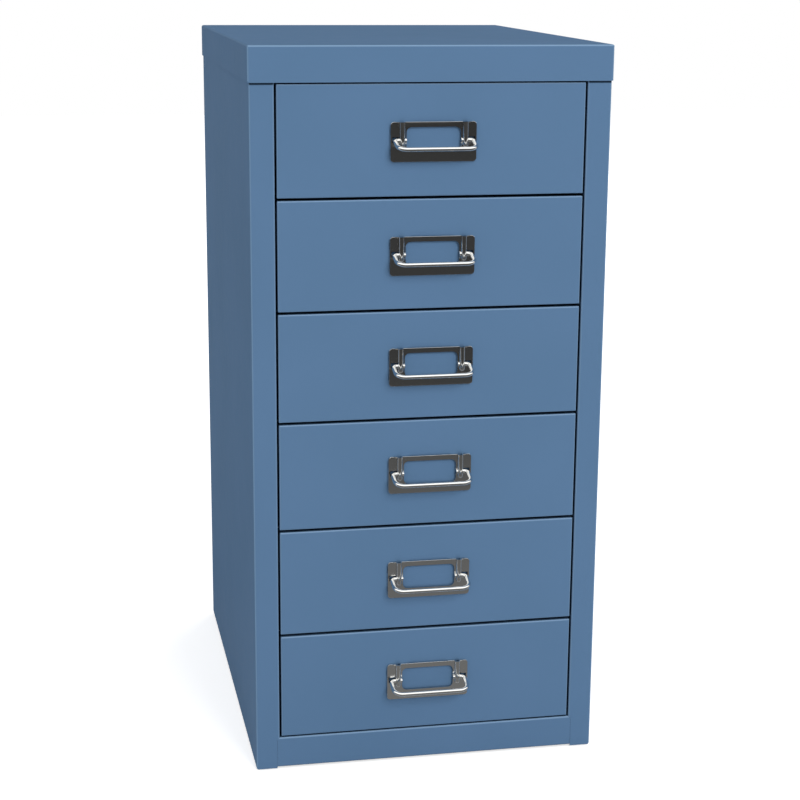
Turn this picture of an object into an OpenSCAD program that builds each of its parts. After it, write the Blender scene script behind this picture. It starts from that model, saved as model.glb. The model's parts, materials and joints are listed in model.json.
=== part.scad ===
// Small metal drawer cabinet: a folded steel carcass with a slip-over top cap and
// six shallow drawers, each hung by its side flanges in a pair of channel runners.
// Every drawer front carries a pressed label holder with a hinged wire pull.
//
// Millimetres. X runs across the cabinet, -Y is the front, +Z is up. The origin lies
// on the floor, under the middle of the cabinet taken with its wire pulls.

/* [Drawer spaces] */
// Clear width between the two front stiles
opening_w = 247; // [235:1:275]
// Height of one drawer space
drawer_pitch = 89; // [80:1:120]
// Gap between a drawer front and the stile beside it
side_gap = 1.5; // [0.8:0.1:2]
// Gap between one drawer front and the next
level_gap = 2; // [1:0.1:2.4]

/* [Carcass] */
// Width of each front stile
stile_w = 19.5; // [16:0.5:26]
// How far the stile folds run back from the front
stile_d = 20; // [16:1:30]
// Depth of the carcass without its cap
body_d = 378; // [340:1:420]
// Height of the base rail's top above the underside of the carcass
rail_h = 27; // [20:1:40]
// How far the base rail laps the fold of each stile
rail_lap = 2.1; // [1.8:0.1:3]
// Sheet thickness of the sides, base and back
sheet_t = 0.8; // [0.6:0.1:1.2]
// Outside radius of the folds in the carcass
fold_r = 1.8; // [1.4:0.1:2.4]
// Width of the flanges that the sides turn in at the back, top and bottom
side_flange = 14; // [10:1:20]
// Height of the flanges that the base turns up
base_flange = 12; // [8:1:16]
// Open seam between the stile fold and the side wall
stile_seam = 2; // [1:0.5:4]

/* [Top cap] */
// Height of the cap's skirt
cap_h = 28; // [22:1:40]
// Sheet thickness of the cap
cap_t = 0.9; // [0.6:0.1:1.2]
// Clearance between the cap's skirt and the carcass
cap_fit = 0.1; // [0.1:0.1:0.4]
// Outside radius along the cap's edges
cap_r = 2; // [1.5:0.1:3]
// Radius of the front skirt's lower corners
cap_corner_r = 3; // [2:0.5:5]
// Width of the stiffening lip folded back under the front skirt
cap_lip = 12; // [8:1:16]

/* [Runners] */
// Sheet thickness of a runner channel
runner_t = 1; // [0.8:0.1:1.4]
// Height of a runner's riding face above the floor of its drawer space
runner_level = 76; // [70:1:78]
// Clear height inside a runner channel
runner_gap = 5.6; // [5:0.1:7]
// How much of the drawer's flange the runner's lower leg carries
runner_bearing = 5.5; // [4:0.5:6.5]
// How much of the drawer's flange the upper leg covers
runner_cover = 3.5; // [2:0.5:5]
// Thickness of the nylon pad clipped on a runner's front end
pad_t = 1.2; // [0.8:0.1:1.4]
// Length of the nylon pad
pad_l = 14; // [8:1:24]

/* [Drawers] */
// Depth of the drawer front's folded edges
front_d = 15; // [10:1:18]
// Sheet thickness of the drawer front
front_t = 0.8; // [0.6:0.1:1.2]
// Outside radius along the front's edges
front_r = 1.6; // [1.3:0.1:2.4]
// Radius of the front's corners seen from ahead
front_corner_r = 1; // [0.5:0.1:2]
// Width of the lips that close the back of the drawer front
front_lip = 8; // [7:0.5:12]
// Sheet thickness of the tray
tray_t = 0.7; // [0.5:0.1:1]
// Room between the tray's flange and the stile
tray_clear = 2.5; // [1.5:0.5:4]
// Width of the tray's side flanges
tray_flange = 8.5; // [8:0.5:12]
// Height of the tray's underside above the floor of its space
tray_lift = 5; // [4:0.5:8]
// Outside radius of the tray's folds
tray_r = 1.5; // [1.2:0.1:2.4]
// Space kept free between the tray and the back panel
tray_back_gap = 10; // [6:1:30]
// Length of the nylon shoe at the back of a flange
shoe_l = 48; // [30:1:70]
// Running clearance wherever a drawer slides
run_gap = 0.3; // [0.2:0.1:0.4]

/* [Label holder] */
// Width of the label holder
plate_w = 68; // [60:0.5:80]
// Top edge of the holder above the middle of its drawer space
plate_top = 14.3; // [13:0.1:18]
// Bottom edge of the holder below the middle of its drawer space
plate_drop = 16.5; // [13:0.1:20]
// How far the holder stands off the drawer front
plate_rise = 2.5; // [2.1:0.1:3]
// Sheet thickness of the holder
plate_t = 0.8; // [0.6:0.1:1]
// Radius of the holder's corners
plate_corner_r = 2.75; // [2:0.25:4]
// Outside radius along the holder's edges
plate_r = 1.1; // [1:0.1:1.4]
// Strip of sheet between the window and a rib
window_side = 1.2; // [0.8:0.1:4]
// Top of the window above the middle of its drawer space
window_top = 10.3; // [8:0.1:11]
// Bottom of the window below the middle of its drawer space
window_drop = 8.7; // [6:0.1:10]
// Radius of the window's corners
window_r = 4; // [2:0.5:6]
// Width of the card slot in the top edge
slot_w = 34; // [20:1:40]
// Distance from the end of the holder to the middle of a hollow rib
rib_inset = 9; // [8.5:0.1:10]
// Outside radius of a rib
rib_r = 2.3; // [2.2:0.1:2.5]
// Height of a rib's straight sides
rib_side = 0.9; // [0.9:0.1:1.4]
// Level of the rib's round lower end below the middle
rib_drop = 3.4; // [3:0.1:5]
// Height of a fixing tab
tab_h = 5; // [3:0.5:7]
// Length of a fixing tab folded flat behind the front
tab_l = 5; // [3:0.5:8]
// Distance of the fixing tabs above and below the middle of the holder
tab_spread = 8; // [6:0.5:9]

/* [Wire pull] */
// Diameter of the wire
wire_d = 3.4; // [3:0.1:3.6]
// Distance of the pull's pivot from the drawer front
pivot_out = 3.1; // [3:0.1:3.3]
// Radial clearance of the wire in the holder's ribs
pivot_fit = 0.05; // [0.02:0.01:0.08]
// Distance from the pivot to the middle of the bar
arm_l = 18.1; // [14:0.1:24]
// Angle at which the pull rests below level
droop = 16; // [5:1:25]
// Angle through which the pull lifts from rest
lift = 75; // [60:1:76]
// Distance from the end of the holder to the middle of an arm
arm_inset = 3.1; // [2.2:0.1:3.2]
// How far the wire's end shows past the rib
wire_show = 0.5; // [0.2:0.1:0.8]
// Length of the cone that dresses the wire's end
wire_dress = 0.6; // [0.3:0.1:1]
// Middle-line radius of the bend beside the rib
leg_bend = 3; // [2.4:0.1:3]
// Middle-line radius of the bend at the bar
bar_bend = 7.2; // [4:0.1:9]
// Reach of the flattened stop toe from the pivot
toe_reach = 3.4; // [3:0.1:3.6]
// Thickness of the stop toe
toe_t = 1.1; // [1:0.1:1.2]
// Width of the stop toe inside the rib
toe_w = 1.8; // [1.2:0.1:1.9]

/* [Foot glides] */
// Height of a glide under the carcass
glide_h = 1; // [0.5:0.5:6]
// Diameter of a glide
glide_d = 18; // [14:1:24]
// Chamfer round the foot of a glide
glide_edge = 0.5; // [0.2:0.1:0.8]
// Diameter of a glide's stem
glide_stem_d = 6; // [4:0.5:8]
// Length of the stem above the base sheet
glide_stem_l = 4; // [2:0.5:6]
// Chamfer at the tip of the stem
glide_lead = 1; // [0.5:0.1:1.5]
// Distance of a glide from the carcass's outside faces
glide_inset = 34; // [34:1:60]

/* [Hidden] */
$fn = 48;
arc_steps = 6;
drawer_count = 6;
levels = [1:drawer_count];

// Clearance between pieces that are pressed or folded together
seat = 0.1;
// Overshoot that makes a cut run clean through a face
cut = 1;

paint = [0.33, 0.47, 0.61];
inner_paint = [0.29, 0.42, 0.55];
chrome = [0.80, 0.80, 0.82];
zinc = [0.66, 0.68, 0.70];
nylon = [0.90, 0.90, 0.87];
black_plastic = [0.10, 0.10, 0.11];

body_w = opening_w + 2 * stile_w;
cap_lap = cap_t + cap_fit;
cap_w = body_w + 2 * cap_lap;
opening_z = glide_h + rail_h;
opening_top = opening_z + drawer_count * drawer_pitch;
cabinet_h = opening_top + cap_h;
wall_in = body_w / 2 - sheet_t;
carcass_top = cabinet_h - cap_t;
trimmed_top = carcass_top - cap_r;
pan_level = glide_h + sheet_t;
back_in = body_d - 2 * sheet_t;

wire_r = wire_d / 2;
pull_reach = pivot_out + arm_l * cos(droop) + wire_r;
front_y = pull_reach - (body_d + cap_lap + pull_reach) / 2;

front_w = opening_w - 2 * side_gap;
tray_reach = opening_w / 2 - tray_clear;
tray_w = 2 * (tray_reach - tray_flange);
tray_y = front_d;
tray_end = back_in - tray_back_gap;
runner_edge = tray_reach - runner_bearing;
runner_top = runner_level + runner_gap;
flange_level = runner_level + pad_t + run_gap;
tray_top = flange_level + tray_t;
shoe_front = back_in - run_gap - shoe_l;
pad_y = stile_d + run_gap;

plate_mid = (plate_top - plate_drop) / 2;
rib_x = plate_w / 2 - rib_inset;
window_w = 2 * (rib_x - rib_r - window_side);
arm_x = plate_w / 2 - arm_inset;

// The lifted arm leans back over the holder: where its back meets the sheet, the notch ends above it
swing_room = 0.35;
arm_room = 0.15;
raised = lift - droop;
arm_meets = (plate_rise - pivot_out + wire_r * sin(raised)) / cos(raised);
notch_low = wire_r + pivot_fit;
notch_high = arm_meets * sin(raised) + wire_r * cos(raised) + swing_room;
notch_end = arm_x + wire_r + arm_room;

// Floor of the space of drawer i, counted from the top
function space_z(i) = opening_z + (drawer_count - i) * drawer_pitch;

// Middle of the space of drawer i
function middle_z(i) = space_z(i) + drawer_pitch / 2;

function unit(v) = v / norm(v);
function left_of(v) = [-v[1], v[0]];
function heading(v) = atan2(v[1], v[0]);
function between(a, b) = let (d = b - a) d > 180 ? d - 360 : d < -180 ? d + 360 : d;
function reversed(list) = [for (i = [len(list) - 1:-1:0]) list[i]];

// Points of one bend of a folded strip, on the face that lies side_off to the left of the middle line
function bend(path, i, r, side_off) =
    let (
        come = unit(path[i] - path[i - 1]),
        leave = unit(path[i + 1] - path[i]),
        sweep = between(heading(come), heading(leave)),
        turn = sign(sweep),
        centre = path[i] - come * r * tan(abs(sweep) / 2) + turn * r * left_of(come)
    )
    [for (k = [0:arc_steps])
        let (a = heading(come) - turn * 90 + sweep * k / arc_steps)
        centre + (r - turn * side_off) * [cos(a), sin(a)]];

// One face of a folded strip
function strip_face(path, r, side_off) =
    let (last = len(path) - 1)
    concat(
        [path[0] + side_off * left_of(unit(path[1] - path[0]))],
        [for (i = [1:last - 1]) each bend(path, i, r, side_off)],
        [path[last] + side_off * left_of(unit(path[last] - path[last - 1]))]
    );

// A folded strip of sheet seen end on, where r is the outside radius of its folds
module folded_strip(path, t, r) {
    middle_r = r - t / 2;
    polygon(concat(strip_face(path, middle_r, t / 2), reversed(strip_face(path, middle_r, -t / 2))));
}

// A quarter arc from angle a, or a plain corner where the radius is nought
function quarter(centre, r, a) =
    r <= 0
        ? [centre]
        : [for (k = [0:arc_steps])
            let (b = a + 90 * k / arc_steps)
            centre + r * [cos(b), sin(b)]];

// A rectangle from lo to hi with a radius for each corner, counted anticlockwise from lo
function soft_rect(lo, hi, r) = concat(
    quarter([lo[0] + r[0], lo[1] + r[0]], r[0], 180),
    quarter([hi[0] - r[1], lo[1] + r[1]], r[1], 270),
    quarter([hi[0] - r[2], hi[1] - r[2]], r[2], 0),
    quarter([lo[0] + r[3], hi[1] - r[3]], r[3], 90)
);

// Extrude an outline drawn in X and Z along Y, from y0 to y1
module along_y(y0, y1) {
    translate([0, y1, 0])
        rotate([90, 0, 0])
            linear_extrude(y1 - y0)
                children();
}

// Extrude an outline drawn in Y and Z along X, from x0 to x1
module along_x(x0, x1) {
    translate([x0, 0, 0])
        rotate([90, 0, 90])
            linear_extrude(x1 - x0)
                children();
}

// Extrude an outline drawn in X and Y along Z, from z0 to z1
module along_z(z0, z1) {
    translate([0, 0, z0])
        linear_extrude(z1 - z0)
            children();
}

// A block from lo to hi
module block(lo, hi) {
    translate(lo)
        cube(hi - lo);
}

// A block whose edges are rounded: plan_r seen from above, face_r from the front, side_r from the right
module soft_block(lo, hi, plan_r, face_r, side_r) {
    intersection() {
        along_z(lo[2], hi[2])
            polygon(soft_rect([lo[0], lo[1]], [hi[0], hi[1]], plan_r));
        along_y(lo[1], hi[1])
            polygon(soft_rect([lo[0], lo[2]], [hi[0], hi[2]], face_r));
        along_x(lo[0], hi[0])
            polygon(soft_rect([lo[1], lo[2]], [hi[1], hi[2]], side_r));
    }
}

// Move a piece from the front plane of the carcass to its place
module placed() {
    translate([0, front_y, 0])
        children();
}

// Both halves of something that is alike left and right
module both_sides() {
    children();
    mirror([1, 0, 0])
        children();
}

// Stand something drawn on the face of drawer i: X across, Y up, Z out of the face
module on_face(i) {
    translate([0, front_y, middle_z(i)])
        rotate([90, 0, 0])
            children();
}

// One side of the carcass: back flange, wall and boxed front stile, with flanges at top and bottom
module side_shell() {
    wall = -body_w / 2 + sheet_t / 2;
    top = carcass_top - sheet_t / 2;
    bottom = glide_h + sheet_t / 2;
    channel = [[wall + side_flange, top], [wall, top], [wall, bottom], [wall + side_flange, bottom]];
    difference() {
        union() {
            along_z(glide_h + fold_r, trimmed_top)
                side_outline();
            intersection() {
                along_z(glide_h, glide_h + fold_r)
                    side_outline();
                along_y(-cut, stile_d)
                    polygon(soft_rect([-body_w / 2, glide_h], [-opening_w / 2 + cut, opening_z],
                                      [fold_r, 0, 0, 0]));
            }
            along_y(stile_d, back_in)
                folded_strip(channel, sheet_t, fold_r);
        }
        along_y(-cut, stile_d + cut)
            polygon(concat(rail_corner(0), [[-opening_w / 2 + cut, opening_z], [-opening_w / 2 + cut, 0]]));
    }
}

// The side seen from above: back flange, wall, front stile and the folds that close its box
module side_outline() {
    wall = -body_w / 2 + sheet_t / 2;
    stile_in = -opening_w / 2 - sheet_t / 2;
    folded_strip([
        [wall + side_flange, body_d - sheet_t / 2],
        [wall, body_d - sheet_t / 2],
        [wall, sheet_t / 2],
        [stile_in, sheet_t / 2],
        [stile_in, stile_d - sheet_t / 2],
        [-wall_in + stile_seam, stile_d - sheet_t / 2]
    ], sheet_t, fold_r);
}

// The left edge of the base rail seen from ahead, drawn in by a clearance, with its mitred upper corner
function rail_corner(gap) = [
    [-opening_w / 2 - rail_lap + gap, 0],
    [-opening_w / 2 - rail_lap + gap, opening_z - rail_lap - gap],
    [-opening_w / 2 + gap, opening_z]
];

module left_side() {
    color(paint)
        placed()
            side_shell();
}

module right_side() {
    color(paint)
        placed()
            mirror([1, 0, 0])
                side_shell();
}

// The back stands inside the folds of the sides, behind the base and in front of the back flanges
module back_panel() {
    back_half = body_w / 2 - fold_r;
    color(paint)
        placed()
            block([-back_half, back_in, pan_level], [back_half, body_d - sheet_t, trimmed_top]);
}

// The cap is a shallow pan that slips over the carcass, with a lip behind its front skirt
module top_cap() {
    low = cabinet_h - cap_h;
    in_r = cap_r - cap_t;
    color(paint)
        placed()
            difference() {
                soft_block([-cap_w / 2, -cap_lap, low], [cap_w / 2, body_d + cap_lap, cabinet_h],
                           [cap_r, cap_r, cap_r, cap_r], [0, 0, cap_r, cap_r], [0, 0, cap_r, cap_r]);
                difference() {
                    soft_block([-cap_w / 2 + cap_t, -cap_fit, low - cut],
                               [cap_w / 2 - cap_t, body_d + cap_fit, carcass_top],
                               [in_r, in_r, in_r, in_r], [0, 0, in_r, in_r], [0, 0, in_r, in_r]);
                    block([-opening_w / 2 + seat, -cap_fit - cut, low],
                          [opening_w / 2 - seat, cap_lip, low + cap_t]);
                }
                both_sides()
                    cap_corner();
            }
}

// The waste outside the rounded lower corner of the cap's front skirt
module cap_corner() {
    low = cabinet_h - cap_h;
    edge = cap_w / 2;
    along_y(-cap_lap - cut, -cap_fit)
        difference() {
            translate([edge - cap_corner_r, low - cut])
                square([cap_corner_r + cut, cap_corner_r + cut]);
            translate([edge - cap_corner_r, low + cap_corner_r])
                circle(cap_corner_r);
        }
}

// The base: a floor sheet with side and back flanges, folded up in front into the base rail
module base_pan() {
    floor_z = pan_level + sheet_t / 2;
    rail_top = opening_z - sheet_t / 2;
    rail_half = opening_w / 2 + rail_lap - seat;
    corner = rail_corner(seat);
    wing_y = stile_d + seat;
    back = back_in - sheet_t / 2;
    path = [
        [back, floor_z + base_flange],
        [back, floor_z],
        [sheet_t / 2, floor_z],
        [sheet_t / 2, rail_top],
        [stile_d - sheet_t / 2, rail_top],
        [stile_d - sheet_t / 2, rail_top - base_flange]
    ];
    wing = [
        [-wall_in + sheet_t / 2, floor_z + base_flange],
        [-wall_in + sheet_t / 2, floor_z],
        [-opening_w / 2 + stile_d, floor_z]
    ];
    color(paint)
        placed()
            difference() {
                union() {
                    intersection() {
                        along_x(-rail_half, rail_half)
                            folded_strip(path, sheet_t, fold_r);
                        along_y(-cut, body_d)
                            polygon(concat(corner, [for (p = reversed(corner)) [-p[0], p[1]]]));
                    }
                    both_sides()
                        along_y(wing_y, back_in - fold_r)
                            folded_strip(wing, sheet_t, fold_r);
                }
                glide_places()
                    cylinder(d = glide_stem_d + 2 * seat, h = pan_level + fold_r);
            }
}

// The four places where a glide is pushed into the base
module glide_places() {
    for (x = [-1, 1] * (body_w / 2 - glide_inset), y = [glide_inset, body_d - glide_inset])
        translate([x, y, 0])
            children();
}

module foot_glides() {
    stem_top = pan_level + sheet_t + glide_stem_l;
    color(black_plastic)
        placed()
            glide_places()
                rotate_extrude()
                    polygon([
                        [0, 0],
                        [glide_d / 2 - glide_edge, 0],
                        [glide_d / 2, glide_edge],
                        [glide_d / 2, pan_level],
                        [glide_stem_d / 2, pan_level],
                        [glide_stem_d / 2, stem_top - glide_lead],
                        [glide_stem_d / 2 - glide_lead, stem_top],
                        [0, stem_top]
                    ]);
}

// A channel runner welded between the stile and the back of one side
module runner(i) {
    web = -wall_in + runner_t / 2;
    low = space_z(i) + runner_level - runner_t / 2;
    high = space_z(i) + runner_top + runner_t / 2;
    path = [
        [-runner_edge, low],
        [web, low],
        [web, high],
        [-tray_reach + runner_cover, high]
    ];
    color(zinc)
        placed()
            along_y(stile_d, back_in)
                folded_strip(path, runner_t, fold_r);
}

module runner_left(i) {
    runner(i);
}

module runner_right(i) {
    mirror([1, 0, 0])
        runner(i);
}

// Nylon pads clipped round the front ends of the runners' lower legs
module runner_pads() {
    color(nylon)
        placed()
            for (i = levels)
                both_sides()
                    runner_pad(space_z(i) + runner_level);
}

module runner_pad(level) {
    nose = -runner_edge + pad_t;
    tail = -tray_reach;
    along_y(pad_y, pad_y + pad_l)
        difference() {
            translate([tail, level - runner_t - pad_t])
                square([nose - tail, runner_t + 2 * pad_t]);
            translate([tail - cut, level - runner_t])
                square([-runner_edge - tail + cut, runner_t]);
        }
}

// The drawer front: a pan with rounded edges, closed behind by lips, slotted for the holder's tabs
module drawer_front(i) {
    low = space_z(i) + level_gap / 2;
    high = space_z(i) + drawer_pitch - level_gap / 2;
    edge = front_w / 2;
    in_r = front_r - front_t;
    corner = front_corner_r * [1, 1, 1, 1];
    color(paint)
        difference() {
            placed()
                difference() {
                    soft_block([-edge, 0, low], [edge, front_d, high],
                               [front_r, front_r, 0, 0], corner, [front_r, 0, 0, front_r]);
                    soft_block([-edge + front_t, front_t, low + front_t],
                               [edge - front_t, front_d - front_t, high - front_t],
                               [in_r, in_r, 0, 0], [0, 0, 0, 0], [in_r, 0, 0, in_r]);
                    block([-edge + front_lip, front_t, low + front_lip],
                          [edge - front_lip, front_d + cut, high - front_lip]);
                }
            on_face(i)
                tab_places()
                    block([-plate_t - seat, -tab_h / 2 - seat, -front_t - cut],
                          [seat, tab_h / 2 + seat, cut]);
        }
}

// The four fixing tabs of a label holder, each on the inside of its edge
module tab_places() {
    both_sides()
        for (y = [-1, 1] * tab_spread)
            translate([plate_w / 2, plate_mid + y, 0])
                children();
}

// The tray: floor, sides and outward flanges from one fold, with a wall at each end
module drawer_tray(i) {
    floor_z = space_z(i) + tray_lift;
    top_z = space_z(i) + tray_top;
    half = tray_w / 2;
    wall = half - tray_t / 2;
    path = [
        [-tray_reach, top_z - tray_t / 2],
        [-wall, top_z - tray_t / 2],
        [-wall, floor_z + tray_t / 2],
        [wall, floor_z + tray_t / 2],
        [wall, top_z - tray_t / 2],
        [tray_reach, top_z - tray_t / 2]
    ];
    end_wall = soft_rect([-half, floor_z], [half, top_z], [tray_r, tray_r, 0, 0]);
    lap = front_lip / 2;
    color(inner_paint)
        placed() {
            along_y(tray_y, tray_end)
                folded_strip(path, tray_t, tray_r);
            along_y(tray_end - tray_t, tray_end)
                polygon(end_wall);
            block([-front_w / 2 + lap, tray_y, space_z(i) + level_gap / 2 + lap],
                  [front_w / 2 - lap, tray_y + tray_t, space_z(i) + drawer_pitch - level_gap / 2 - lap]);
        }
}

// The pair of nylon shoes that slide in the channels and stop the drawer both ways
module drawer_shoes(i) {
    color(nylon)
        placed()
            both_sides()
                difference() {
                    block([-tray_reach - pad_t, shoe_front, space_z(i) + runner_level + run_gap],
                          [-tray_w / 2 - pad_t, back_in - run_gap, space_z(i) + runner_top - run_gap]);
                    block([-tray_reach, shoe_front - cut, space_z(i) + flange_level],
                          [-tray_w / 2, tray_end, space_z(i) + flange_level + tray_t]);
                }
}

// The label holder: a pressed pan with a window, a card slot and two hollow ribs that carry the pull
module label_holder(i) {
    color(chrome)
        on_face(i)
            difference() {
                union() {
                    holder_pan();
                    both_sides()
                        rib(rib_r, plate_rise + rib_side, plate_rise - plate_t);
                    tab_places()
                        fixing_tab();
                }
                both_sides()
                    rib(rib_r - plate_t, plate_rise + rib_side, -cut);
                both_sides()
                    pivot_cut();
                along_z(-cut, plate_rise + cut)
                    polygon(soft_rect([-window_w / 2, -window_drop], [window_w / 2, window_top],
                                      [window_r, window_r, window_r, window_r]));
                block([-slot_w / 2, plate_top - plate_r - cut, -cut],
                      [slot_w / 2, plate_top + cut, plate_rise - plate_t]);
            }
}

module holder_pan() {
    c = plate_corner_r;
    r = plate_r;
    edge = plate_w / 2;
    difference() {
        soft_block([-edge, -plate_drop, 0], [edge, plate_top, plate_rise],
                   [c, c, c, c], [0, 0, r, r], [0, 0, r, r]);
        soft_block([-edge + plate_t, -plate_drop + plate_t, -cut],
                   [edge - plate_t, plate_top - plate_t, plate_rise - plate_t],
                   [c, c, c, c] - plate_t * [1, 1, 1, 1],
                   [0, 0, r - plate_t, r - plate_t], [0, 0, r - plate_t, r - plate_t]);
    }
}

// A round-topped rib from the holder's top edge down to its round end
module rib(r, crown_z, root_z) {
    rise = crown_z - root_z;
    translate([rib_x, -rib_drop, root_z]) {
        cylinder(r = r, h = rise);
        translate([0, 0, rise])
            sphere(r);
        translate([-r, 0, 0])
            cube([2 * r, rib_drop + plate_top, rise]);
        translate([0, rib_drop + plate_top, rise])
            rotate([90, 0, 0])
                cylinder(r = r, h = rib_drop + plate_top);
    }
}

// The pivot hole through a rib, and the notches that let the wire lie in the sheet beside it
module pivot_cut() {
    translate([window_w / 2 - cut, 0, pivot_out])
        rotate([0, 90, 0])
            cylinder(r = wire_r + pivot_fit, h = notch_end - window_w / 2 + cut);
    block([window_w / 2 - cut, -notch_low, -cut], [rib_x - rib_r, notch_low, plate_rise + cut]);
    block([rib_x + rib_r, -notch_low, -cut], [notch_end, notch_high, plate_rise + cut]);
}

// A tab that passes through the drawer front and is folded flat behind it
module fixing_tab() {
    behind = -front_t - seat;
    block([-plate_t, -tab_h / 2, behind], [0, tab_h / 2, plate_rise - plate_r]);
    block([-tab_l, -tab_h / 2, behind - plate_t], [0, tab_h / 2, behind]);
}

// The wire pull, drawn flat with its pivot on X and its bar at Y = arm_l, then set at its rest angle
module wire_pull(i) {
    leg_end = rib_x - rib_r - wire_show;
    leg_start = arm_x - leg_bend;
    bar_start = arm_x - bar_bend;
    color(chrome)
        on_face(i)
            translate([0, 0, pivot_out])
                rotate([90 + droop, 0, 0]) {
                    both_sides() {
                        wire_end([leg_end, 0]);
                        wire([leg_end, 0], [leg_start, 0]);
                        wire_bend([leg_start, 0], 0, leg_bend);
                        wire([arm_x, leg_bend], [arm_x, arm_l - bar_bend]);
                        wire_bend([arm_x, arm_l - bar_bend], 90, bar_bend);
                        stop_toe();
                    }
                    wire([-bar_start, arm_l], [bar_start, arm_l]);
                }
}

// A straight length of wire from a to b
module wire(a, b) {
    translate([a[0], a[1], 0])
        rotate([0, 90, heading(b - a)])
            cylinder(r = wire_r, h = norm(b - a));
}

// The dressed end of the wire, pointing to the middle of the holder
module wire_end(at) {
    translate([at[0] - wire_dress, at[1], 0])
        rotate([0, 90, 0])
            cylinder(r1 = wire_r - wire_dress, r2 = wire_r, h = wire_dress);
}

// A quarter bend that starts at a point with heading a and turns left
module wire_bend(start, a, r) {
    centre = start + r * left_of([cos(a), sin(a)]);
    translate([centre[0], centre[1], 0])
        rotate([0, 0, a - 90])
            rotate_extrude(angle = 90)
                translate([r, 0])
                    circle(wire_r);
}

// A flattened toe inside the rib that meets the drawer front when the pull is down
module stop_toe() {
    down_back = asin((pivot_out - toe_t / 2 - seat) / (toe_reach - toe_t / 2));
    translate([rib_x - toe_w / 2, 0, 0])
        rotate([180 - droop - (90 - down_back), 0, 0])
            rotate([0, 90, 0])
                linear_extrude(toe_w)
                    union() {
                        translate([-toe_t / 2, 0])
                            square([toe_t, toe_reach - toe_t / 2]);
                        translate([0, toe_reach - toe_t / 2])
                            circle(toe_t / 2);
                    }
}

left_side();
right_side();
back_panel();
top_cap();
base_pan();
foot_glides();
runner_pads();
for (i = levels) {
    runner_left(i);
    runner_right(i);
    drawer_front(i);
    drawer_tray(i);
    drawer_shoes(i);
    label_holder(i);
    wire_pull(i);
}
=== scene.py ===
# %% [markdown]
# # Small metal drawer cabinet
#
# A desk-high steel cabinet: a folded carcass, a slip-over cap and six shallow drawers, each with a
# chrome label holder that carries a hinged wire pull. The construction comes in as a fixed frame of
# solids at their real size. This lesson dresses it: paint, chrome, zinc and nylon are mixed from
# nodes, the small chrome parts get the soft edges of real pressings, and the wire is bent by a
# Geometry Nodes tree. Everything is in metres, with the front of the cabinet facing -Y.

# %% Open the frame
import json
import math

import bmesh
import bpy
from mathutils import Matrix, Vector

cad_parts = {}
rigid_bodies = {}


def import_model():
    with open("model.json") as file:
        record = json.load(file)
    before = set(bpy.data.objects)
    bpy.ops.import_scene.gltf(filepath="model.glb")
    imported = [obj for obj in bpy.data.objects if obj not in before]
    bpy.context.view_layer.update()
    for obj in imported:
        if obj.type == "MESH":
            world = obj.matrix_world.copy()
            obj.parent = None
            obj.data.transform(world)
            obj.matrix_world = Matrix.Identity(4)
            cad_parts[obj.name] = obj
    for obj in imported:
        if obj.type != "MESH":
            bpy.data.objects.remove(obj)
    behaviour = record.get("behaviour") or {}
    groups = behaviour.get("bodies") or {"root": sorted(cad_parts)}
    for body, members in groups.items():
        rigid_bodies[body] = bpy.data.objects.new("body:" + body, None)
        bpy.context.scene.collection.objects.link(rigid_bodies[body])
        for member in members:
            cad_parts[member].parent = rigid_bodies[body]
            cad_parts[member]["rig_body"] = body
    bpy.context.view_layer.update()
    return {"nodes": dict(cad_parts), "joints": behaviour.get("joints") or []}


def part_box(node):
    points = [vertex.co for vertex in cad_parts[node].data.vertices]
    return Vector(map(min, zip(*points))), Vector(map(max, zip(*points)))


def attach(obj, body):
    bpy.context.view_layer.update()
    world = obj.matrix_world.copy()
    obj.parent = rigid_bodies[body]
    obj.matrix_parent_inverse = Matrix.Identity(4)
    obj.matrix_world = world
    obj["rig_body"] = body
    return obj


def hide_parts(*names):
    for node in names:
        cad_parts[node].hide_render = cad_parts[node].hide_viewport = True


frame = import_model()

scene = bpy.context.scene

# %% [markdown]
# The drawers are numbered from the top. The new pieces take their places and main sizes from the
# frame, so a label holder or a pull lands exactly where the solid one is. Sizes that the frame does
# not tell, such as a bend radius, are written here, in millimetres.

# %% Sizes shared by the pieces
MM = 0.001
LEVELS = range(1, 7)

front_low, front_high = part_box("drawer_front_1")
face_y = front_low.y
pivots = {joint["child"]: Vector(joint["pos_m"]) for joint in frame["joints"] if joint["type"] == "hinge"}
print("front face at y = %.1f mm" % (face_y / MM))
print("first pull turns %.1f mm in front of it" % ((face_y - pivots["pull_1"].y) / MM))
print("first drawer %.1f mm wide, %.1f mm high" % tuple((front_high - front_low)[k] / MM for k in (0, 2)))

# %% [markdown]
# ## Working with nodes
#
# A colour given here is an sRGB value, but a shader wants linear light, so one function turns a
# hex code into what the socket needs. A second small function adds a node, sets its properties and
# fills its inputs, either with plain values or with the output of another node.

# %% Two helpers for node trees
def linear(hex_code):
    """The linear RGBA of an sRGB hex code such as 5B7A9D."""
    parts = [int(hex_code[k:k + 2], 16) / 255 for k in (0, 2, 4)]
    return [p / 12.92 if p <= 0.04045 else ((p + 0.055) / 1.055) ** 2.4 for p in parts] + [1.0]


def add_node(tree, kind, inputs=None, **settings):
    """Add one node: settings are its properties, inputs are values or the outputs that feed it."""
    made = tree.nodes.new(kind)
    for name, value in settings.items():
        setattr(made, name, value)
    for name, value in (inputs or {}).items():
        if isinstance(value, bpy.types.NodeSocket):
            tree.links.new(value, made.inputs[name])
        else:
            made.inputs[name].default_value = value
    return made


def per_mm(size):
    """The Scale of a noise whose features are about this many millimetres across."""
    return 1000.0 / size


print("front blue in linear light:", [round(c, 3) for c in linear("5B7A9D")[:3]])

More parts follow.
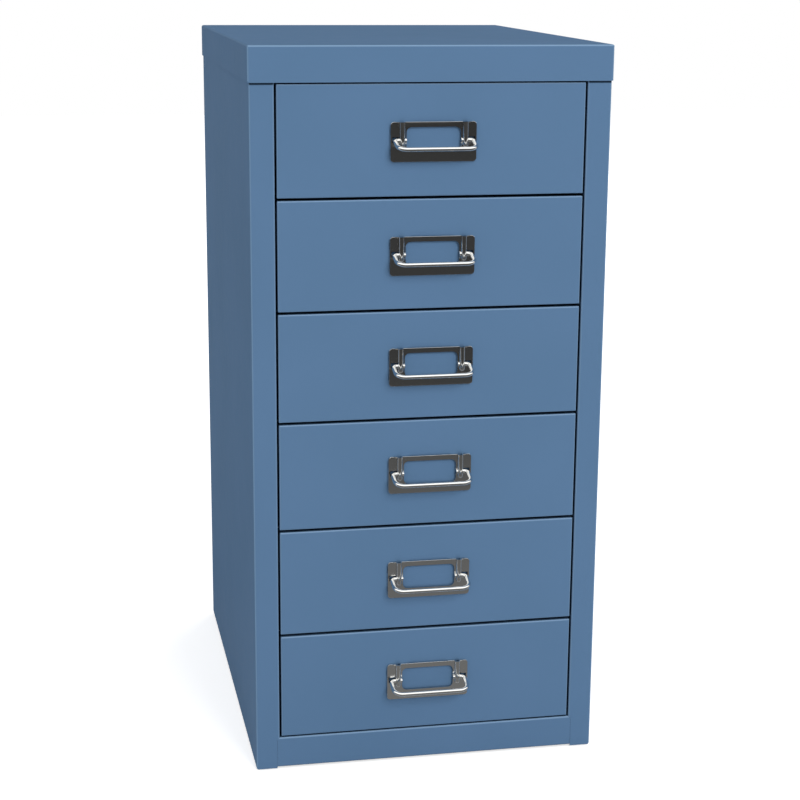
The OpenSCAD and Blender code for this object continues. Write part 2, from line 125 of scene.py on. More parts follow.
# %% [markdown]
# ## Materials
#
# Every material starts the same way: a Principled shader with its constants set on its own sockets,
# and the Object coordinates, which stick to the piece when a drawer slides or a pull swings.
# Mixing two colours by a noise, and pressing a noise into the surface as a bump, come up again and
# again, so each is one short function on top of `add_node`.

# %% What each material starts from
MIX_A, MIX_B, MIX_COLOUR = 6, 7, 2


def start_material(name, **constants):
    """A new material with its tree, its shader and its Object coordinates."""
    material = bpy.data.materials.new(name)
    material.use_nodes = True
    tree = material.node_tree
    shader = tree.nodes["Principled BSDF"]
    for socket, value in constants.items():
        shader.inputs[socket.replace("_", " ")].default_value = value
    place = add_node(tree, "ShaderNodeTexCoord").outputs["Object"]
    return material, tree, shader, place


def noise(tree, place, size_mm, detail=2.0):
    """A noise value between 0 and 1 with features of this size."""
    inputs = {"Vector": place, "Scale": per_mm(size_mm), "Detail": detail}
    return add_node(tree, "ShaderNodeTexNoise", inputs).outputs[0]


def spread(tree, value, low, high):
    """Stretch the middle of a noise to run from low to high."""
    inputs = {"Value": value, "From Min": 0.3, "From Max": 0.7, "To Min": low, "To Max": high}
    return add_node(tree, "ShaderNodeMapRange", inputs).outputs["Result"]


def between(tree, value, start, end, low, high):
    """A ramp from low at start to high at end."""
    inputs = {"Value": value, "From Min": start, "From Max": end, "To Min": low, "To Max": high}
    return add_node(tree, "ShaderNodeMapRange", inputs).outputs["Result"]


def combine(tree, operation, first, second):
    """Two numbers put together by a sum, a product, the larger of both and so on."""
    return add_node(tree, "ShaderNodeMath", {0: first, 1: second}, operation=operation).outputs[0]


def blend_colours(tree, share, first, second):
    inputs = {"Factor": share, MIX_A: first, MIX_B: second}
    return add_node(tree, "ShaderNodeMix", inputs, data_type="RGBA").outputs[MIX_COLOUR]


def press_in(tree, height, depth_mm, strength, under=None):
    """A bump of this depth, laid over the bump underneath if there is one."""
    inputs = {"Height": height, "Distance": depth_mm * MM, "Strength": strength}
    if under:
        inputs["Normal"] = under
    return add_node(tree, "ShaderNodeBump", inputs).outputs["Normal"]


# %% [markdown]
# **Powder-coated steel.** The cabinet is sprayed with dry powder that melts into one even satin skin.
# The eye reads four things: a wide, weak sheen, the faint orange peel where the powder flowed, a
# lighter line over the folds, which is a painted highlight, and dark seams, which are painted shade
# in the narrow gaps. Real peel is about 1 mm across; it is drawn at 2 mm here, so that it still shows
# at the size of the picture. The flow of the powder also leaves very weak clouds, some 90 mm wide.
#
# Every flat of this cabinet faces along an axis, so a normal that leans between two axes lies on a
# fold, and the lean finds the folds without any drawing. The painted highlight is strongest on the
# folds that face up and to the front, as if lit from above and in front, and weaker on all others.
#
# The painted shade in the seams is found by ambient occlusion over a few millimetres. One gap is too
# shallow for that: the cap stands only a millimetre proud of the stiles, yet a dark line of shadow
# shows under its front edge. That painted shadow is laid there by height.

# %% Satin powder coat
# The last size is how far the ambient occlusion for the painted gap shade reaches
PEEL_MM, CLOUD_MM, PATCH_MM, GAP_SHADE_MM = 2.0, 90, 14, 7.0
PEEL_DEPTH_MM, PEEL_STRENGTH = 0.010, 0.4
PATCH_ROUGHER = 0.03
# The share of the painted fold highlight that every fold gets, however it faces
LEAST_FOLD_HIGHLIGHT = 0.2
# The colour of the painted shade in gaps and of the painted shadow under the cap
PAINTED_GAP_SHADE = "17222E"
# The painted shadow under the cap: how far down it reaches, how soft its lower edge is, how dark it is
CAP_SHADOW_MM, CAP_SHADOW_SOFT_MM, CAP_SHADOW_DEPTH = 2.0, 0.7, 0.95

# Each ramp gives where it starts, where it ends, and its value at both
# The first three place the painted fold highlight, the fourth the painted shade in gaps, the last the
# painted shadow under the cap
LEAN_RAMP = (0.995, 0.80, 0.0, 1.0)
HIGHLIGHT_UP_RAMP = (-0.2, 0.5, 0.0, 0.7)
HIGHLIGHT_FRONT_RAMP = (0.0, -0.5, 0.0, 1.0)
GAP_SHADE_RAMP = (0.42, 0.14, 0.0, 1.0)
CAP_SHADOW_FACING_RAMP = (-0.5, -0.9, 0.0, 1.0)

lap_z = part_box("top_cap")[0].z


def painted_fold_highlight(tree):
    """Painted highlight on the folds: 0 on the flats, most on folds that face up and to the front."""
    normal = add_node(tree, "ShaderNodeNewGeometry").outputs["Normal"]
    size = add_node(tree, "ShaderNodeVectorMath", {0: normal}, operation="ABSOLUTE").outputs["Vector"]
    along = add_node(tree, "ShaderNodeSeparateXYZ", {0: size}).outputs
    nearest = combine(tree, "MAXIMUM", combine(tree, "MAXIMUM", along["X"], along["Y"]), along["Z"])
    lean = between(tree, nearest, *LEAN_RAMP)
    facing = add_node(tree, "ShaderNodeSeparateXYZ", {0: normal}).outputs
    up = between(tree, facing["Z"], *HIGHLIGHT_UP_RAMP)
    front = between(tree, facing["Y"], *HIGHLIGHT_FRONT_RAMP)
    # Painted highlight weight: strongest where a fold faces up and to the front
    fold_highlight_weight = combine(tree, "ADD", combine(tree, "MULTIPLY", up, front), LEAST_FOLD_HIGHLIGHT)
    return combine(tree, "MULTIPLY", lean, fold_highlight_weight)


def painted_gap_shade(tree):
    """Painted shade in narrow gaps, from ambient occlusion: 0 in the open, 1 well inside."""
    reach = {"Distance": GAP_SHADE_MM * MM}
    clear = add_node(tree, "ShaderNodeAmbientOcclusion", reach, samples=6).outputs["AO"]
    return between(tree, clear, *GAP_SHADE_RAMP)


def painted_cap_shadow(tree, place):
    """Painted shadow under the cap's front edge: full depth close below it, 0 on the cap and elsewhere."""
    height = add_node(tree, "ShaderNodeSeparateXYZ", {"Vector": place}).outputs["Z"]
    low = lap_z - CAP_SHADOW_MM * MM
    line = between(tree, height, low, low + CAP_SHADOW_SOFT_MM * MM, 0.0, CAP_SHADOW_DEPTH)
    carcass = add_node(tree, "ShaderNodeMath", {0: height, 1: lap_z}, operation="LESS_THAN").outputs[0]
    normal = add_node(tree, "ShaderNodeNewGeometry").outputs["Normal"]
    facing = add_node(tree, "ShaderNodeSeparateXYZ", {"Vector": normal}).outputs["Y"]
    front = between(tree, facing, *CAP_SHADOW_FACING_RAMP)
    return combine(tree, "MULTIPLY", combine(tree, "MULTIPLY", line, carcass), front)


def powder_coat(name, body_hex, shade_hex, fold_highlight_hex, roughness):
    material, tree, shader, place = start_material(name, IOR=1.5, Specular_IOR_Level=0.02)
    cloud = spread(tree, noise(tree, place, CLOUD_MM, 1.0), 0.0, 1.0)
    body = blend_colours(tree, cloud, linear(body_hex), linear(shade_hex))
    # Painted highlight on the folds
    drawn = blend_colours(tree, painted_fold_highlight(tree), body, linear(fold_highlight_hex))
    # Painted shade in narrow gaps and the painted shadow under the cap, whichever is darker
    dark = combine(tree, "MAXIMUM", painted_gap_shade(tree), painted_cap_shadow(tree, place))
    colour = blend_colours(tree, dark, drawn, linear(PAINTED_GAP_SHADE))
    tree.links.new(colour, shader.inputs["Base Color"])
    patch = noise(tree, place, PATCH_MM)
    sheen = spread(tree, patch, roughness - PATCH_ROUGHER, roughness + PATCH_ROUGHER)
    tree.links.new(sheen, shader.inputs["Roughness"])
    peel = noise(tree, place, PEEL_MM, 1.0)
    tree.links.new(press_in(tree, peel, PEEL_DEPTH_MM, PEEL_STRENGTH), shader.inputs["Normal"])
    return material


# Body colour, its cloud tone, the colour of the painted fold highlight, and the roughness
cabinet_paint = powder_coat("powder_coat_blue", "5A799A", "5C7B9D", "8CABCA", 0.70)
tray_paint = powder_coat("powder_coat_blue_inner", "55728F", "587693", "7D9BB8", 0.70)
print("made", cabinet_paint.name, "and", tray_paint.name)

# %% [markdown]
# **Chrome plate.** The label holders and the pulls are steel, polished and then plated with bright
# nickel and chrome. Chrome is a mirror of almost no colour of its own, so nearly all that shows is
# the room. What makes it look like a real pressing is that the sheet is never quite flat: a long, very
# shallow wave bends the reflections. A drawn wire has no such wave, only fine rubbing marks that blur
# its reflections a little, so it gets a chrome of its own.

# %% Chrome plate
RUB_MM, WAVE_MM, WAVE_DEPTH_MM, WAVE_STRENGTH = 1.4, 9.0, 0.04, 0.5
POLISHED, RUBBED = 0.07, 0.13


def chrome_plate(name, wavy):
    material, tree, shader, place = start_material(name, Metallic=1.0)
    shader.inputs["Base Color"].default_value = linear("DCDCDA")
    rubbing = noise(tree, place, RUB_MM, 3.0)
    tree.links.new(spread(tree, rubbing, POLISHED, RUBBED), shader.inputs["Roughness"])
    if wavy:
        wave = noise(tree, place, WAVE_MM, 1.0)
        tree.links.new(press_in(tree, wave, WAVE_DEPTH_MM, WAVE_STRENGTH), shader.inputs["Normal"])
    return material


pressed_chrome = chrome_plate("chrome_on_pressed_sheet", wavy=True)
wire_chrome = chrome_plate("chrome_on_drawn_wire", wavy=False)
print("made", pressed_chrome.name, "and", wire_chrome.name)

# %% [markdown]
# **Zinc, nylon and the glides.** The runners are bright zinc-plated strip: grey, half dull, with
# a faint crystal pattern. The pads and shoes are moulded natural nylon, milky and waxy. The glides
# are black moulded plastic with a fine spark-eroded grain.

# %% Zinc strip, natural nylon and black plastic
CRYSTAL_MM, PLASTIC_CLOUD_MM = 5, 6
GRAIN_DEPTH_MM, GRAIN_STRENGTH, GRAIN_ROUGHER = 0.02, 0.4, 0.05


def zinc_plate():
    material, tree, shader, place = start_material("zinc_plate", Metallic=1.0)
    pattern = {"Vector": place, "Scale": per_mm(CRYSTAL_MM)}
    crystal = add_node(tree, "ShaderNodeTexVoronoi", pattern).outputs["Color"]
    tone = add_node(tree, "ShaderNodeSeparateColor", {"Color": crystal}).outputs["Red"]
    colour = blend_colours(tree, tone, linear("A9ADB0"), linear("C3C6C8"))
    tree.links.new(colour, shader.inputs["Base Color"])
    tree.links.new(spread(tree, tone, 0.32, 0.42), shader.inputs["Roughness"])
    return material


def moulded_plastic(name, hex_code, other_hex, roughness, grain_mm):
    material, tree, shader, place = start_material(name, IOR=1.53)
    cloud = noise(tree, place, PLASTIC_CLOUD_MM)
    grain = noise(tree, place, grain_mm)
    colour = blend_colours(tree, spread(tree, cloud, 0.0, 1.0), linear(hex_code), linear(other_hex))
    tree.links.new(colour, shader.inputs["Base Color"])
    sheen = spread(tree, grain, roughness - GRAIN_ROUGHER, roughness + GRAIN_ROUGHER)
    tree.links.new(sheen, shader.inputs["Roughness"])
    tree.links.new(press_in(tree, grain, GRAIN_DEPTH_MM, GRAIN_STRENGTH), shader.inputs["Normal"])
    return material


zinc = zinc_plate()
nylon = moulded_plastic("nylon_natural", "E6E3D6", "DEDACB", 0.48, 0.8)
glide_plastic = moulded_plastic("plastic_black", "1B1B1D", "232325", 0.55, 0.5)
print("made", zinc.name, nylon.name, glide_plastic.name)

# %% [markdown]
# ## Dressing the frame
#
# The start of a node's name says what it is made of. Every node gets its finish here. The runners,
# the nylon parts and the glides keep the frame's own meshes, whose shape is already right.

# %% Give every node its finish
FINISHES = {
    "left_side": cabinet_paint,
    "right_side": cabinet_paint,
    "back_panel": cabinet_paint,
    "top_cap": cabinet_paint,
    "base_pan": cabinet_paint,
    "drawer_front": cabinet_paint,
    "drawer_tray": tray_paint,
    "runner_left": zinc,
    "runner_right": zinc,
    "runner_pads": nylon,
    "drawer_shoes": nylon,
    "foot_glides": glide_plastic,
    "label_holder": pressed_chrome,
    "wire_pull": wire_chrome,
}


def finish_of(node):
    return next(material for start, material in FINISHES.items() if node.startswith(start))


def dress(piece, material):
    piece.data.materials.clear()
    piece.data.materials.append(material)


for name, piece in frame["nodes"].items():
    dress(piece, finish_of(name))
print("dressed", len(frame["nodes"]), "nodes")

# %% [markdown]
# ## Folded and pressed sheet
#
# Real sheet has no sharp edges: the folds are round, and paint or plating rounds what the shear left.
# Sharp computer edges catch no light and look like cut card. So a copy of each sheet part is welded
# together, its flat triangles are merged, a narrow bevel rounds every cut edge, and the normals are
# weighted by area, which keeps the flats flat and turns the light smoothly round the folds.

# %% Copy a node's mesh as one welded piece with soft edges
CUT_EDGE = math.radians(30)
FLAT = math.radians(0.5)
WELD_MM = 0.002


def welded_copy(node, name):
    """A separate object with the node's mesh, its points merged and its flat faces joined."""
    mesh = frame["nodes"][node].data.copy()
    mesh.name = name
    work = bmesh.new()
    work.from_mesh(mesh)
    bmesh.ops.remove_doubles(work, verts=work.verts, dist=WELD_MM * MM)
    bmesh.ops.dissolve_limit(work, angle_limit=FLAT, verts=work.verts, edges=work.edges)
    work.to_mesh(mesh)
    work.free()
    made = bpy.data.objects.new(name, mesh)
    scene.collection.objects.link(made)
    return made


def apply_modifiers(piece):
    """Turn what the modifiers show into the piece's plain mesh."""
    graph = bpy.context.evaluated_depsgraph_get()
    mesh = bpy.data.meshes.new_from_object(piece.evaluated_get(graph))
    piece.modifiers.clear()
    piece.data = mesh
    mesh.name = piece.name


def soften(piece, width_mm, steps=2):
    bevel = piece.modifiers.new("soft_edges", "BEVEL")
    bevel.width = width_mm * MM
    bevel.segments = steps
    bevel.limit_method = "ANGLE"
    bevel.angle_limit = CUT_EDGE
    bevel.use_clamp_overlap = True
    piece.data.shade_smooth()
    piece.modifiers.new("even_light", "WEIGHTED_NORMAL")
    apply_modifiers(piece)


def stand_in(piece, node):
    """Let a new piece take a node's place on the same body."""
    dress(piece, finish_of(node))
    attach(piece, frame["nodes"][node]["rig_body"])
    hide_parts(node)


# %% [markdown]
# The painted sheets come first. Powder is about 0.1 mm thick and pulls back from a cut edge, which
# leaves a radius of some 0.2 mm. The trays have a thinner sheet, so theirs is smaller.

# %% Painted sheets
PAINTED = ["left_side", "right_side", "back_panel", "top_cap", "base_pan"]
PAINTED += ["drawer_front_%d" % i for i in LEVELS]
TRAYS = ["drawer_tray_%d" % i for i in LEVELS]
SHEET_EDGE_MM, TRAY_EDGE_MM = 0.2, 0.15

for nodes, slot, width in ((PAINTED, "cabinet_paint", SHEET_EDGE_MM), (TRAYS, "tray_paint", TRAY_EDGE_MM)):
    for node in nodes:
        sheet = welded_copy(node, "folded_" + node)
        soften(sheet, width)
        stand_in(sheet, node)
    print(slot, "on", len(nodes), "sheets, faces in the last:", len(sheet.data.polygons))

# %% [markdown]
# **Label holders.** A holder is pressed from thin sheet, trimmed, and tumbled smooth before it is
# plated. The same steps soften its cut edges. Its rim needs more care, because chrome shows every
# radius: on the real pressing the rim is tight and its corners are full rounds. A narrow band with
# that section is swept round the edge, with a break at each rib, and a boolean union makes it one
# with the sheet.

# %% The band round a holder's rim
HOLDER_RISE, HOLDER_SHEET = 2.5, 0.8
RIM_CORNER, RIM_RADIUS, RIM_BAND, RIM_PROUD = 2.6, 0.18, 1.2, 0.01
RIB_X, RIB_MIDDLE_R = 25.0, 1.9
CORNER_STEPS, RIM_STEPS = 10, 4


def rim_section():
    """The band's section, as how far each point lies inside the edge and in front of the drawer."""
    front, back = HOLDER_RISE, HOLDER_RISE - HOLDER_SHEET
    turns = [math.pi / 2 * k / RIM_STEPS for k in range(RIM_STEPS + 1)]
    r = RIM_RADIUS
    arc = [(r - r * math.cos(a) - RIM_PROUD, front - r + r * math.sin(a)) for a in turns]
    return [(RIM_BAND, back), (-RIM_PROUD, back)] + arc + [(RIM_BAND, front)]


def corner_run(x, z, start):
    """A quarter turn round a corner's centre: places, each with its outward direction."""
    turns = [math.radians(start - 90 * k / CORNER_STEPS) for k in range(CORNER_STEPS + 1)]
    ways = [(math.cos(a), math.sin(a)) for a in turns]
    return [((x + RIM_CORNER * way[0], z + RIM_CORNER * way[1]), way) for way in ways]


def rim_runs(half, low, high):
    """The strip between the ribs, and the long run from rib to rib round the ends and the bottom."""
    inner, outer, up = RIB_X - RIB_MIDDLE_R, RIB_X + RIB_MIDDLE_R, (0, 1)
    x, bottom, top = half - RIM_CORNER, low + RIM_CORNER, high - RIM_CORNER
    round_run = [((outer, high), up)]
    for place in ((x, top, 90), (x, bottom, 0), (-x, bottom, -90), (-x, top, -180)):
        round_run += corner_run(*place)
    round_run.append(((-outer, high), up))
    return [((-inner, high), up), ((inner, high), up)], round_run


def rim_band(i):
    """The band as a closed mesh object, one tube of quads for each run."""
    low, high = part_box("label_holder_%d" % i)
    work = bmesh.new()
    section = rim_section()

    def ring(place, way):
        spots = [(place[0] - way[0] * d, face_y / MM - y, place[1] - way[1] * d) for d, y in section]
        return [work.verts.new(Vector(spot) * MM) for spot in spots]

    for run in rim_runs(high.x / MM, low.z / MM, high.z / MM):
        rings = [ring(place, way) for place, way in run]
        for one, two in zip(rings, rings[1:]):
            for k in range(len(section)):
                work.faces.new([one[k - 1], one[k], two[k], two[k - 1]])
        work.faces.new(rings[0])
        work.faces.new(rings[-1][::-1])
    bmesh.ops.recalc_face_normals(work, faces=work.faces)
    mesh = bpy.data.meshes.new("rim_band_%d" % i)
    work.to_mesh(mesh)
    work.free()
    made = bpy.data.objects.new(mesh.name, mesh)
    scene.collection.objects.link(made)
    return made


# %% Join the band to its holder
HOLDER_EDGE_MM = 0.08
SHARP_EDGE = math.radians(60)


def join_solids(piece, other):
    """Make two overlapping solids one, and drop the second object."""
    union = piece.modifiers.new("join", "BOOLEAN")
    union.operation = "UNION"
    union.solver = "EXACT"
    union.object = other
    apply_modifiers(piece)
    bpy.data.objects.remove(other)
    piece.data.shade_smooth()
    piece.data.set_sharp_from_angle(angle=SHARP_EDGE)
    piece.modifiers.new("even_light", "WEIGHTED_NORMAL").keep_sharp = True
    apply_modifiers(piece)


for i in LEVELS:
    holder = welded_copy("label_holder_%d" % i, "pressed_holder_%d" % i)
    soften(holder, HOLDER_EDGE_MM)
    join_solids(holder, rim_band(i))
    stand_in(holder, "label_holder_%d" % i)
print("label holders joined, faces in one:", len(holder.data.polygons))

# %% [markdown]
# ## The wire pulls
#
# Each pull is one length of hard steel wire, bent on a former. A wire follows a path, which is what
# Geometry Nodes are good at: the tree takes a path of straight runs, rounds each corner with the
# radius stored on it, and sweeps the round section along. The size of the wire and the fineness of
# the bends are named inputs. The path itself is read from the frame, so it hangs in the same holes.

# %% The tree that bends a wire
WIRE_D, BEND_STEPS, ROUND_STEPS = 3.4, 14, 32


def group_input(tree, name, kind, default=None):
    made = tree.interface.new_socket(name, in_out="INPUT", socket_type=kind)
    if default is not None:
        made.default_value = default
    return made


def bent_wire_tree():
    tree = bpy.data.node_groups.new("bent_wire", "GeometryNodeTree")
    group_input(tree, "Path", "NodeSocketGeometry")
    group_input(tree, "Wire diameter", "NodeSocketFloat", WIRE_D * MM)
    group_input(tree, "Bend steps", "NodeSocketInt", BEND_STEPS)
    group_input(tree, "Round steps", "NodeSocketInt", ROUND_STEPS)
    group_input(tree, "Finish", "NodeSocketMaterial")
    tree.interface.new_socket("Wire", in_out="OUTPUT", socket_type="NodeSocketGeometry")
    given = add_node(tree, "NodeGroupInput").outputs
    bend = add_node(tree, "GeometryNodeInputNamedAttribute", {"Name": "bend_radius"}, data_type="FLOAT")
    thick = add_node(tree, "GeometryNodeInputNamedAttribute", {"Name": "thickness"}, data_type="FLOAT")
    line = add_node(tree, "GeometryNodeMeshToCurve", {"Mesh": given["Path"]})
    corners = {"Curve": line.outputs["Curve"], "Radius": bend.outputs["Attribute"]}
    bent = add_node(tree, "GeometryNodeFilletCurve", corners | {"Count": given["Bend steps"]}, mode="POLY")
    sized = add_node(tree, "GeometryNodeSetCurveRadius",
                     {"Curve": bent.outputs["Curve"], "Radius": thick.outputs["Attribute"]})
    half = add_node(tree, "ShaderNodeMath", {0: given["Wire diameter"], 1: 0.5}, operation="MULTIPLY")
    ring = add_node(tree, "GeometryNodeCurvePrimitiveCircle",
                    {"Resolution": given["Round steps"], "Radius": half.outputs["Value"]})
    sweep = {"Curve": sized.outputs["Curve"], "Profile Curve": ring.outputs["Curve"], "Fill Caps": True}
    swept = add_node(tree, "GeometryNodeCurveToMesh", sweep)
    smooth = add_node(tree, "GeometryNodeSetShadeSmooth", {"Geometry": swept.outputs["Mesh"]})
    solid = add_node(tree, "GeometryNodeRealizeInstances", {"Geometry": smooth.outputs["Geometry"]})
    finished = add_node(tree, "GeometryNodeSetMaterial",
                        {"Geometry": solid.outputs["Geometry"], "Material": given["Finish"]})
    add_node(tree, "NodeGroupOutput", {"Wire": finished.outputs["Geometry"]})
    return tree


bent_wire = bent_wire_tree()
print("the tree has", len(bent_wire.nodes), "nodes")

# %% [markdown]
# The path of one pull: from the dressed end inside the window, through the rib, round a small bend
# into the arm, round a wide bend into the bar, and back the same way on the other side. Each point
# of the path carries the bend radius and the share of the wire's full thickness at that point.

# %% Read the path of a pull from the frame and bend the wire
LEG_END_X, END_TAPER = 22.2, 0.6
LEG_BEND, BAR_BEND = 3.0, 7.2


def pull_path(i):
    """Points of the wire's middle line with bend radius and thickness, from left to right."""
    low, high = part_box("wire_pull_%d" % i)
    wire_r = WIRE_D / 2 * MM
    leg = pivots["pull_%d" % i]
    bar = low + Vector((0, wire_r, wire_r))
    leg_x, arm_x = LEG_END_X * MM, high.x - wire_r
    half = [
        ((leg_x - END_TAPER * MM, leg.y, leg.z), 0, 1 - END_TAPER * MM / wire_r),
        ((leg_x, leg.y, leg.z), 0, 1),
        ((arm_x, leg.y, leg.z), LEG_BEND, 1),
        ((arm_x, bar.y, bar.z), BAR_BEND, 1),
    ]
    left = [((-x, y, z), radius, share) for (x, y, z), radius, share in half]
    return left + half[::-1]


def path_object(name, points):
    mesh = bpy.data.meshes.new(name)
    places, radii, shares = zip(*points)
    mesh.from_pydata(places, [(k, k + 1) for k in range(len(points) - 1)], [])
    for attribute, values in (("bend_radius", [r * MM for r in radii]), ("thickness", shares)):
        mesh.attributes.new(attribute, "FLOAT", "POINT").data.foreach_set("value", values)
    made = bpy.data.objects.new(name, mesh)
    scene.collection.objects.link(made)
    return made


def run_tree(piece, tree, **values):
    """Run a Geometry Nodes tree on a piece and keep the result as its plain mesh."""
    modifier = piece.modifiers.new(tree.name, "NODES")
    modifier.node_group = tree
    for item in tree.interface.items_tree:
        key = item.name.replace(" ", "_").lower()
        if item.in_out == "INPUT" and key in values:
            modifier[item.identifier] = values[key]
    apply_modifiers(piece)


# %% [markdown]
# **Stop toes.** Inside each rib the wire carries a small flattened toe. It points down and back and
# meets the drawer front, so the pull hangs out a little instead of lying flat. The toe is an outline
# with a round tip, extruded across the rib, and it becomes part of the same mesh as its wire.

# %% Add the stop toes to a pull
TOE_X, TOE_W, TOE_T = 25.0, 1.8, 1.1
TOE_REACH, TOE_SEAT = 3.4, 0.1
TIP_STEPS = 8


def toe_outline(pivot):
    """Points of the blade seen from the side, as Y and Z, from its root round the tip and back."""
    radius, length = TOE_T / 2 * MM, (TOE_REACH - TOE_T / 2) * MM
    inward = face_y - TOE_SEAT * MM - radius - pivot.y
    down = math.sqrt(length ** 2 - inward ** 2)
    way = math.atan2(-down, inward)
    tip = (pivot.y + inward, pivot.z - down)
    turns = [way - math.pi / 2 + math.pi * k / TIP_STEPS for k in range(TIP_STEPS + 1)]
    rim = [(tip[0] + radius * math.cos(a), tip[1] + radius * math.sin(a)) for a in turns]
    root = [(y - tip[0] + pivot.y, z - tip[1] + pivot.z) for y, z in (rim[-1], rim[0])]
    return rim + root


def add_toes(pull, pivot):
    work = bmesh.new()
    work.from_mesh(pull.data)
    for middle in (-TOE_X, TOE_X):
        low_x, high_x = (middle - TOE_W / 2) * MM, (middle + TOE_W / 2) * MM
        rings = [[work.verts.new((x, y, z)) for y, z in toe_outline(pivot)] for x in (low_x, high_x)]
        count = len(rings[0])
        sides = [[rings[0][k], rings[0][k - 1], rings[1][k - 1], rings[1][k]] for k in range(count)]
        made = [work.faces.new(side) for side in sides + [rings[0], rings[1][::-1]]]
        bmesh.ops.recalc_face_normals(work, faces=made)
    work.to_mesh(pull.data)
    work.free()


for i in LEVELS:
    pull = path_object("bent_pull_%d" % i, pull_path(i))
    run_tree(pull, bent_wire, wire_diameter=WIRE_D * MM, finish=wire_chrome)
    add_toes(pull, pivots["pull_%d" % i])
    pull.data.set_sharp_from_angle(angle=CUT_EDGE)
    stand_in(pull, "wire_pull_%d" % i)
print("wire pulls bent, faces in one:", len(pull.data.polygons))

# %% [markdown]
# ## The stage
#
# The floor is a white sweep. To the camera it glows just enough to read as white, while the light
# that falls on it still leaves the cabinet's soft shadow. Mirror rays see it white beside and behind
# the cabinet, but grey in front, where the floor of the studio lies. That gives the chrome its dark
# face. The glow adds no light to the paint.

# %% Floor
FLOOR_GLOW = 0.60
FLOOR_EDGES = (-4.0, 4.0, -5.0, 6.0)
NEAR_GREY, FAR_GREY = 0.21, 0.05
GREY_STARTS, GREY_ENDS = 0.02, 1.4


def choose(tree, share, first, second):
    """The first value where share is 0, the second where it is 1."""
    return add_node(tree, "ShaderNodeMix", {"Factor": share, "A": first, "B": second}).outputs[0]


def stage_material():
    material = bpy.data.materials.new("white_sweep")
    material.use_nodes = True
    tree = material.node_tree
    tree.nodes.clear()
    ray = add_node(tree, "ShaderNodeLightPath").outputs
    glow = choose(tree, ray["Is Camera Ray"], 0.0, FLOOR_GLOW)
    paper = add_node(tree, "ShaderNodeBsdfDiffuse", {"Color": linear("F2F2F2")})
    light = add_node(tree, "ShaderNodeEmission", {"Strength": glow})
    lit = add_node(tree, "ShaderNodeAddShader", {0: paper.outputs[0], 1: light.outputs[0]})
    place = add_node(tree, "ShaderNodeTexCoord").outputs["Object"]
    depth = add_node(tree, "ShaderNodeSeparateXYZ", {"Vector": place}).outputs["Y"]
    near, far = face_y - GREY_STARTS, face_y - GREY_ENDS
    grey = between(tree, depth, near, far, NEAR_GREY, FAR_GREY)
    shown = choose(tree, between(tree, depth, near, face_y, 0.0, 1.0), grey, 1.0)
    mirrored = add_node(tree, "ShaderNodeEmission", {"Strength": shown})
    mirror_ray = combine(tree, "MAXIMUM", ray["Is Glossy Ray"], ray["Is Transmission Ray"])
    both = add_node(tree, "ShaderNodeMixShader", {0: mirror_ray, 1: lit.outputs[0], 2: mirrored.outputs[0]})
    add_node(tree, "ShaderNodeOutputMaterial", {"Surface": both.outputs[0]})
    return material


def floor_sheet(left, right, front, back):
    mesh = bpy.data.meshes.new("floor")
    corners = [(left, front, 0), (right, front, 0), (right, back, 0), (left, back, 0)]
    mesh.from_pydata(corners, [], [(0, 1, 2, 3)])
    made = bpy.data.objects.new("floor", mesh)
    scene.collection.objects.link(made)
    return made


floor = floor_sheet(*FLOOR_EDGES)
dress(floor, stage_material())
print("floor laid, %.0f m wide" % (FLOOR_EDGES[1] - FLOOR_EDGES[0]))

# %% [markdown]
# **World.** The world fills the shadows evenly. Shiny surfaces see a simple studio in it: the white
# sweep behind the cabinet, and in front a dark room that turns to a grey floor further down and to
# a bright ceiling overhead. That is what gives chrome its dark and light bands. A noise that is
# stretched upwards breaks the dark room into pillars, which the ribs and the bends pick up.

# %% World
AMBIENT = 0.61
PILLARS, PILLAR_STRETCH = 3.0, 0.3

# Ramps again: where each starts, where it ends, and its value at both
FLOOR_RAMP = (-0.05, -0.45, FAR_GREY, NEAR_GREY)
CEILING_RAMP = (0.12, 0.36, 0.0, 1.6)
PILLAR_RAMP = (0.35, 0.65, 0.4, 1.8)
SWEEP_RAMP = (0.0, 0.1, 1.0, 0.35)
BEHIND_RAMP = (-0.05, 0.15, 0.0, 1.0)


def room_in_front(tree, way, height):
    floor_grey = between(tree, height, *FLOOR_RAMP)
    ceiling = between(tree, height, *CEILING_RAMP)
    scale = (PILLARS, PILLARS, PILLAR_STRETCH)
    tall = add_node(tree, "ShaderNodeMapping", {"Vector": way, "Scale": scale})
    pillar = add_node(tree, "ShaderNodeTexNoise", {"Vector": tall.outputs[0], "Scale": 1.0, "Detail": 1.0})
    broken = between(tree, pillar.outputs[0], *PILLAR_RAMP)
    return combine(tree, "ADD", combine(tree, "MULTIPLY", floor_grey, broken), ceiling)


def studio_world():
    world = bpy.data.worlds.new("studio")
    scene.world = world
    world.use_nodes = True
    tree = world.node_tree
    tree.nodes.clear()
    ray = add_node(tree, "ShaderNodeLightPath").outputs
    way = add_node(tree, "ShaderNodeTexCoord").outputs["Generated"]
    part = add_node(tree, "ShaderNodeSeparateXYZ", {"Vector": way}).outputs
    sweep = between(tree, part["Z"], *SWEEP_RAMP)
    behind = between(tree, part["Y"], *BEHIND_RAMP)
    shiny = choose(tree, behind, room_in_front(tree, way, part["Z"]), sweep)
    mirror_ray = combine(tree, "MAXIMUM", ray["Is Glossy Ray"], ray["Is Transmission Ray"])
    level = choose(tree, ray["Is Camera Ray"], choose(tree, mirror_ray, AMBIENT, shiny), 1.0)
    air = add_node(tree, "ShaderNodeBackground", {"Color": linear("FFFFFF"), "Strength": level})
    add_node(tree, "ShaderNodeOutputWorld", {"Surface": air.outputs[0]})


studio_world()
print("world made, fill light", AMBIENT)

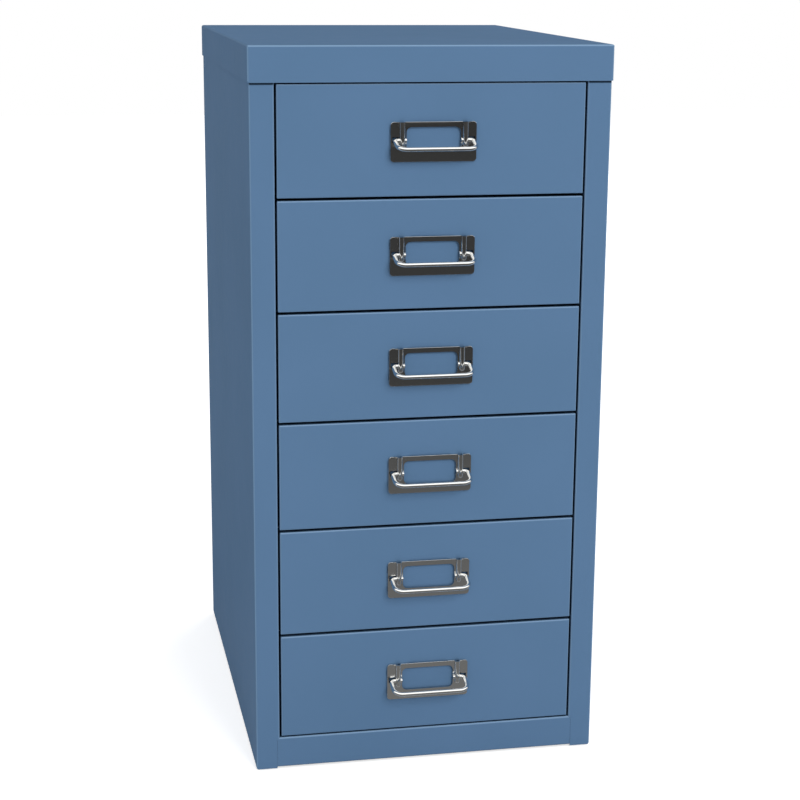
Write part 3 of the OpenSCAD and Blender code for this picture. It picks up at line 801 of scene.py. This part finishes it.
# %% [markdown]
# **Lamps.** One soft box stands in front, a little to the right and 30 degrees up. At that height it
# lights the fronts a little more than the top, leaves the left side in the softer fill, and draws
# the small shadow under every label holder. A weaker one behind, on the right, keeps the back and
# the right side apart when the cabinet is seen from there. Both are hidden from mirror rays,
# because the bright ceiling of the world already gives the chrome its highlights.

# %% Soft boxes
AIM = Vector((0, -0.1, 0.30))
LAMP_AWAY, LAMP_SIZE = 4.5, 1.35


def softbox(name, rise, turn, power):
    """An area lamp aimed at the cabinet, its angles in degrees, turned from the front to the right."""
    rise, turn = math.radians(rise), math.radians(turn)
    flat = math.cos(rise)
    place = AIM + Vector((math.sin(turn) * flat, -math.cos(turn) * flat, math.sin(rise))) * LAMP_AWAY
    lamp = bpy.data.lights.new(name, "AREA")
    lamp.shape = "SQUARE"
    lamp.size = LAMP_SIZE
    lamp.energy = power
    made = bpy.data.objects.new(name, lamp)
    made.location = place
    made.rotation_euler = (AIM - place).to_track_quat("-Z", "Y").to_euler()
    made.visible_glossy = False
    scene.collection.objects.link(made)
    return made


front_light = softbox("front_light", rise=30, turn=15, power=76)
softbox("back_light", rise=20, turn=150, power=30)
print("front lamp at", [round(v, 2) for v in front_light.location])

# %% [markdown]
# ## The camera
#
# The cabinet is seen from the front left and from above. The place, the turn and the lens were fitted
# to the corners and the gap lines of the picture, with the sizes of the solids held as they are. The
# fit is close and not exact: the outline lies up to ten pixels off at the right.

# %% Camera
CAMERA_PLACE = (-0.2991, -1.5606, 0.6588)
CAMERA_TURN = (76.144, -0.424, -11.129)
CAMERA_LENS = 81.79

lens = bpy.data.cameras.new("camera")
lens.lens = CAMERA_LENS
lens.sensor_width = 36.0
lens.clip_start, lens.clip_end = 0.05, 100.0
camera = bpy.data.objects.new("camera", lens)
camera.location = CAMERA_PLACE
camera.rotation_euler = [math.radians(a) for a in CAMERA_TURN]
scene.collection.objects.link(camera)
scene.camera = camera
scene.view_settings.view_transform = "Standard"
print("camera set, lens %.1f mm" % lens.lens)
